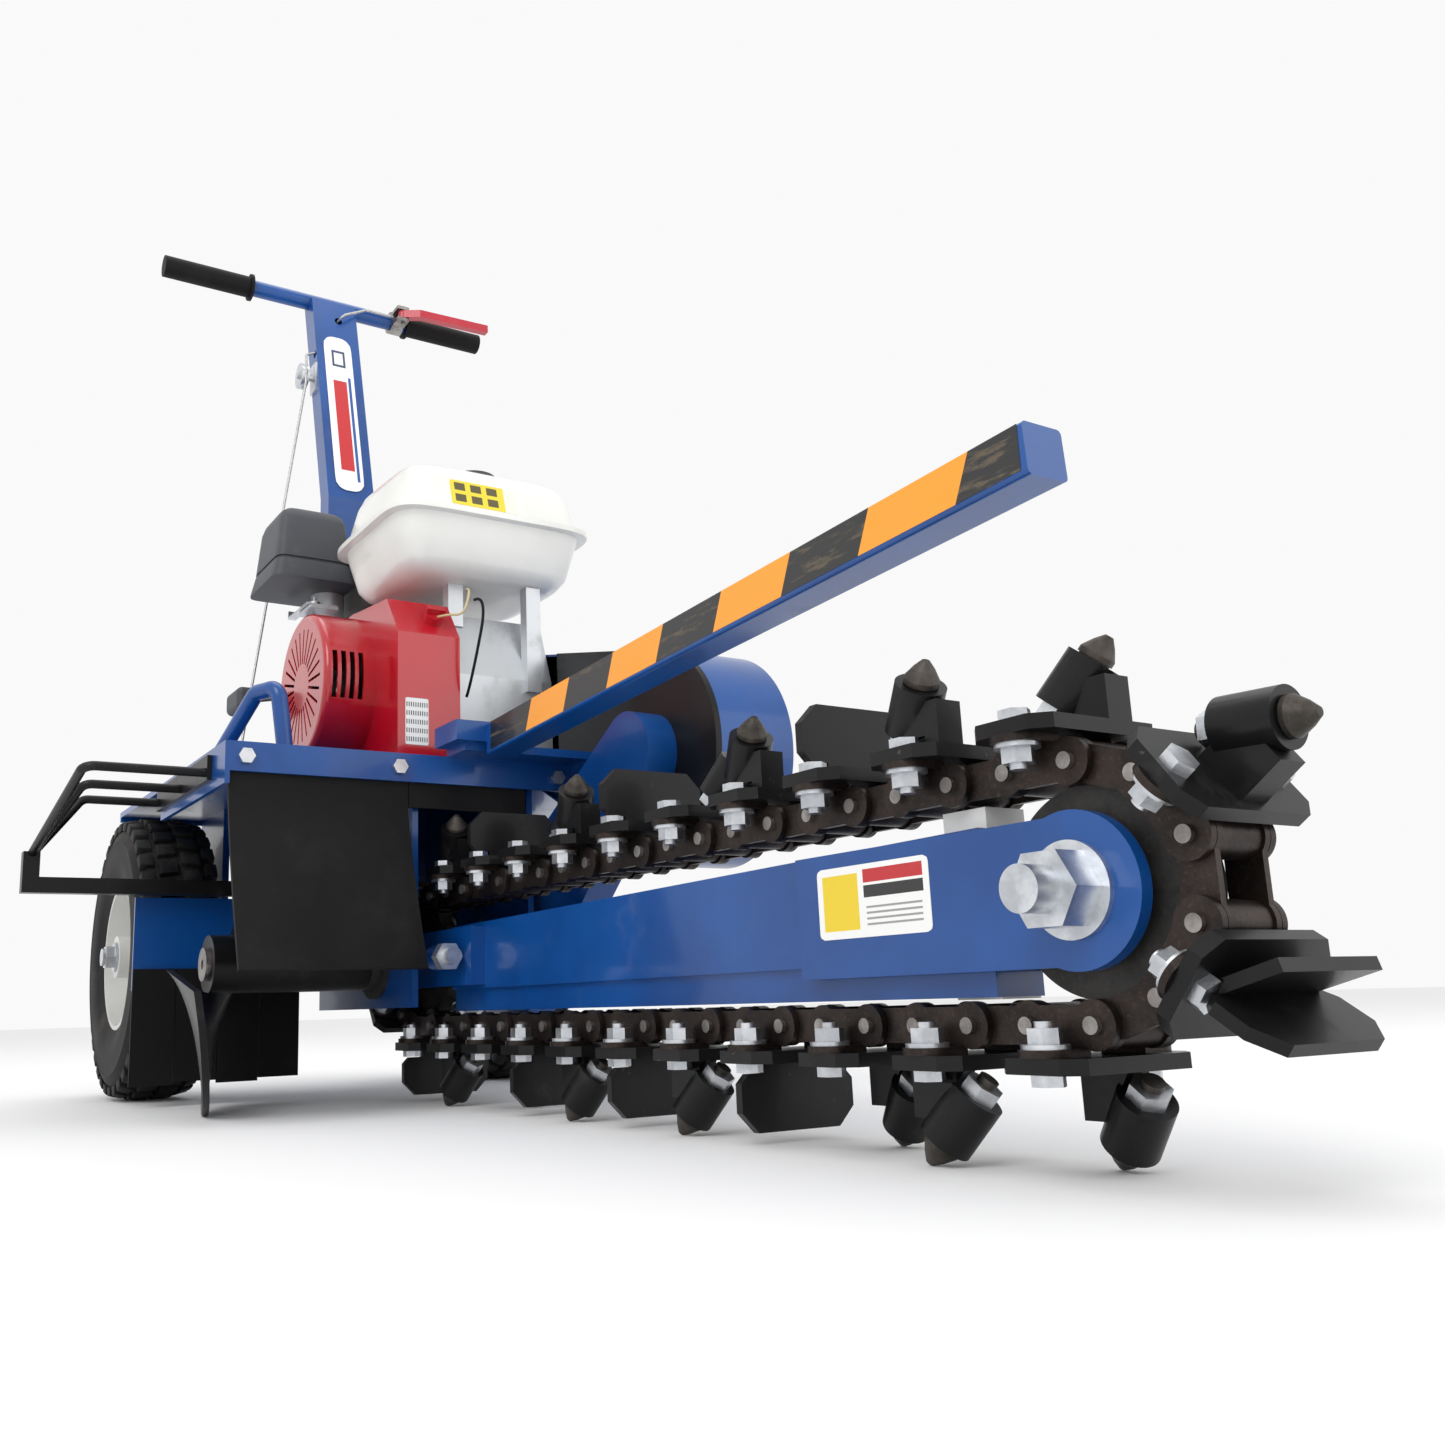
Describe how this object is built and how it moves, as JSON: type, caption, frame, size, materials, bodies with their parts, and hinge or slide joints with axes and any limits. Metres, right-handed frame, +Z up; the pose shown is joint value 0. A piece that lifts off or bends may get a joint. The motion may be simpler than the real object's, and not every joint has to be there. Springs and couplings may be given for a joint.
{
  "type": "trencher",
  "caption": "Walk-behind trencher with a petrol engine, a long boom carrying a digging chain with picks and paddles, a spoil auger, two tyres and a T handle.",
  "frame": {"origin": "centre of the bounding box on the ground under the machine", "axes": "+X towards the nose of the boom, +Y to the left of an operator facing the nose, +Z up"},
  "size_m": [1.8177, 0.844, 1.389],
  "materials": {
    "blue_paint": "gloss",
    "black_paint": "satin",
    "red_cover": "gloss",
    "white_tank": "gloss",
    "dark_plastic": "satin",
    "black_rubber": "matte",
    "tyre_rubber": "matte",
    "rim_paint": "satin",
    "cast_alloy": "cast",
    "chain_steel": "dark oiled",
    "worn_steel": "worn",
    "zinc": "zinc plated",
    "bare_steel": "machined",
    "iron": "cast",
    "red_grip": "gloss",
    "muffler_steel": "matte",
    "wire": "galvanised"
  },
  "bodies": {
    "frame": {"head_bearings": "iron", "axle": "zinc", "deck": "blue_paint", "frame_plates": "blue_paint", "rubber_flaps": "black_rubber", "deck_bolts": "zinc", "deflector_strips": "black_rubber", "auger_guard": "black_paint", "safety_bar": "blue_paint", "handle_post": "blue_paint", "handle_bar": "blue_paint", "hand_grips": "black_rubber", "lever_bracket": "bare_steel", "sheave_bracket": "zinc", "clutch_cable": "wire", "crankcase": "cast_alloy", "cylinder_head": "cast_alloy", "fan_cover": "red_cover", "recoil_cover": "red_cover", "fuel_tank": "white_tank", "air_cleaner": "dark_plastic", "carburettor": "cast_alloy", "muffler": "muffler_steel", "belt_guard": "blue_paint", "drive_belt": "black_rubber", "chain_case": "blue_paint", "guard_plate": "black_paint"},
    "boom": {"boom_beam": "blue_paint", "boom_fork": "blue_paint", "nose_axle": "zinc", "wear_pads": "worn_steel", "tensioner_screw": "zinc", "chain_outer_links": "chain_steel", "chain_inner_links": "chain_steel", "chain_rollers": "chain_steel", "chain_pins": "bare_steel", "cutter_base_plates": "black_paint", "pick_holders": "black_paint", "picks": "worn_steel", "paddles": "black_paint", "cutter_fasteners": "zinc"},
    "nose": {"nose_roller": "iron"},
    "head": {"head_shaft": "bare_steel", "drive_sprocket": "iron", "auger": "black_paint"},
    "jack": {"jackshaft": "bare_steel", "driven_pulley": "iron"},
    "crank": {"crankshaft": "iron", "engine_pulley": "iron"},
    "right_wheel": {"right_rim": "rim_paint", "right_tyre": "tyre_rubber"},
    "left_wheel": {"left_rim": "rim_paint", "left_tyre": "tyre_rubber"},
    "sheave": {"cable_sheave": "zinc"},
    "lever": {"clutch_lever": "red_grip"},
    "throttle": {"throttle_lever": "zinc"},
    "choke": {"choke_lever": "zinc"},
    "starter": {"starter_grip": "dark_plastic"},
    "cap": {"fuel_cap": "dark_plastic"},
    "switch": {"engine_switch": "red_cover"}
  },
  "joints": [
    {"name": "boom_lift", "type": "hinge", "parent": "frame", "child": "boom", "pos_m": [-0.30588, 0.07, 0.176], "axis": [0, 1, 0], "range_deg": [0, 55]},
    {"name": "head_spin", "type": "hinge", "parent": "frame", "child": "head", "pos_m": [-0.30588, 0.07, 0.176], "axis": [0, 1, 0], "continuous": true},
    {"name": "nose_spin", "type": "hinge", "parent": "boom", "child": "nose", "pos_m": [0.76092, 0.07, 0.176], "axis": [0, 1, 0], "continuous": true},
    {"name": "jack_spin", "type": "hinge", "parent": "frame", "child": "jack", "pos_m": [0.01712, 0.27, 0.405], "axis": [0, 1, 0], "continuous": true},
    {"name": "crank_spin", "type": "hinge", "parent": "frame", "child": "crank", "pos_m": [-0.40188, 0.27, 0.557], "axis": [0, 1, 0], "continuous": true},
    {"name": "right_wheel_spin", "type": "hinge", "parent": "frame", "child": "right_wheel", "pos_m": [-0.70588, -0.212, 0.203], "axis": [0, 1, 0], "continuous": true},
    {"name": "left_wheel_spin", "type": "hinge", "parent": "frame", "child": "left_wheel", "pos_m": [-0.70588, 0.352, 0.203], "axis": [0, 1, 0], "continuous": true},
    {"name": "sheave_spin", "type": "hinge", "parent": "frame", "child": "sheave", "pos_m": [-0.73421, 0.008, 1.196], "axis": [0, 1, 0], "continuous": true},
    {"name": "clutch_squeeze", "type": "hinge", "parent": "frame", "child": "lever", "pos_m": [-0.74418, 0.198, 1.366], "axis": [0, 0, 1], "range_deg": [0, 9], "stiffness_Nm_per_rad": 6},
    {"name": "throttle_turn", "type": "hinge", "parent": "frame", "child": "throttle", "pos_m": [-0.52088, -0.034, 0.716], "axis": [0, 0, 1], "range_deg": [0, 40]},
    {"name": "choke_turn", "type": "hinge", "parent": "frame", "child": "choke", "pos_m": [-0.56088, -0.0315, 0.7], "axis": [0, 1, 0], "range_deg": [0, 60]},
    {"name": "starter_pull", "type": "slide", "parent": "frame", "child": "starter", "axis": [-0.6983, -0.7158, 0], "range_m": [0, 0.4], "stiffness_N_per_m": 40},
    {"name": "fuel_cap_turn", "type": "hinge", "parent": "frame", "child": "cap", "pos_m": [-0.32588, 0.14, 0.862], "axis": [0, 0, 1], "range_deg": [0, 90]},
    {"name": "switch_turn", "type": "hinge", "parent": "frame", "child": "switch", "pos_m": [-0.24588, 0.038, 0.6276], "axis": [0.8087, 0, 0.5882], "range_deg": [0, 45]}
  ],
  "couplings": [
    {"joint": "nose_spin", "follows": "head_spin", "ratio": 1},
    {"joint": "jack_spin", "follows": "head_spin", "ratio": 2},
    {"joint": "crank_spin", "follows": "head_spin", "ratio": 4.8696}
  ]
}
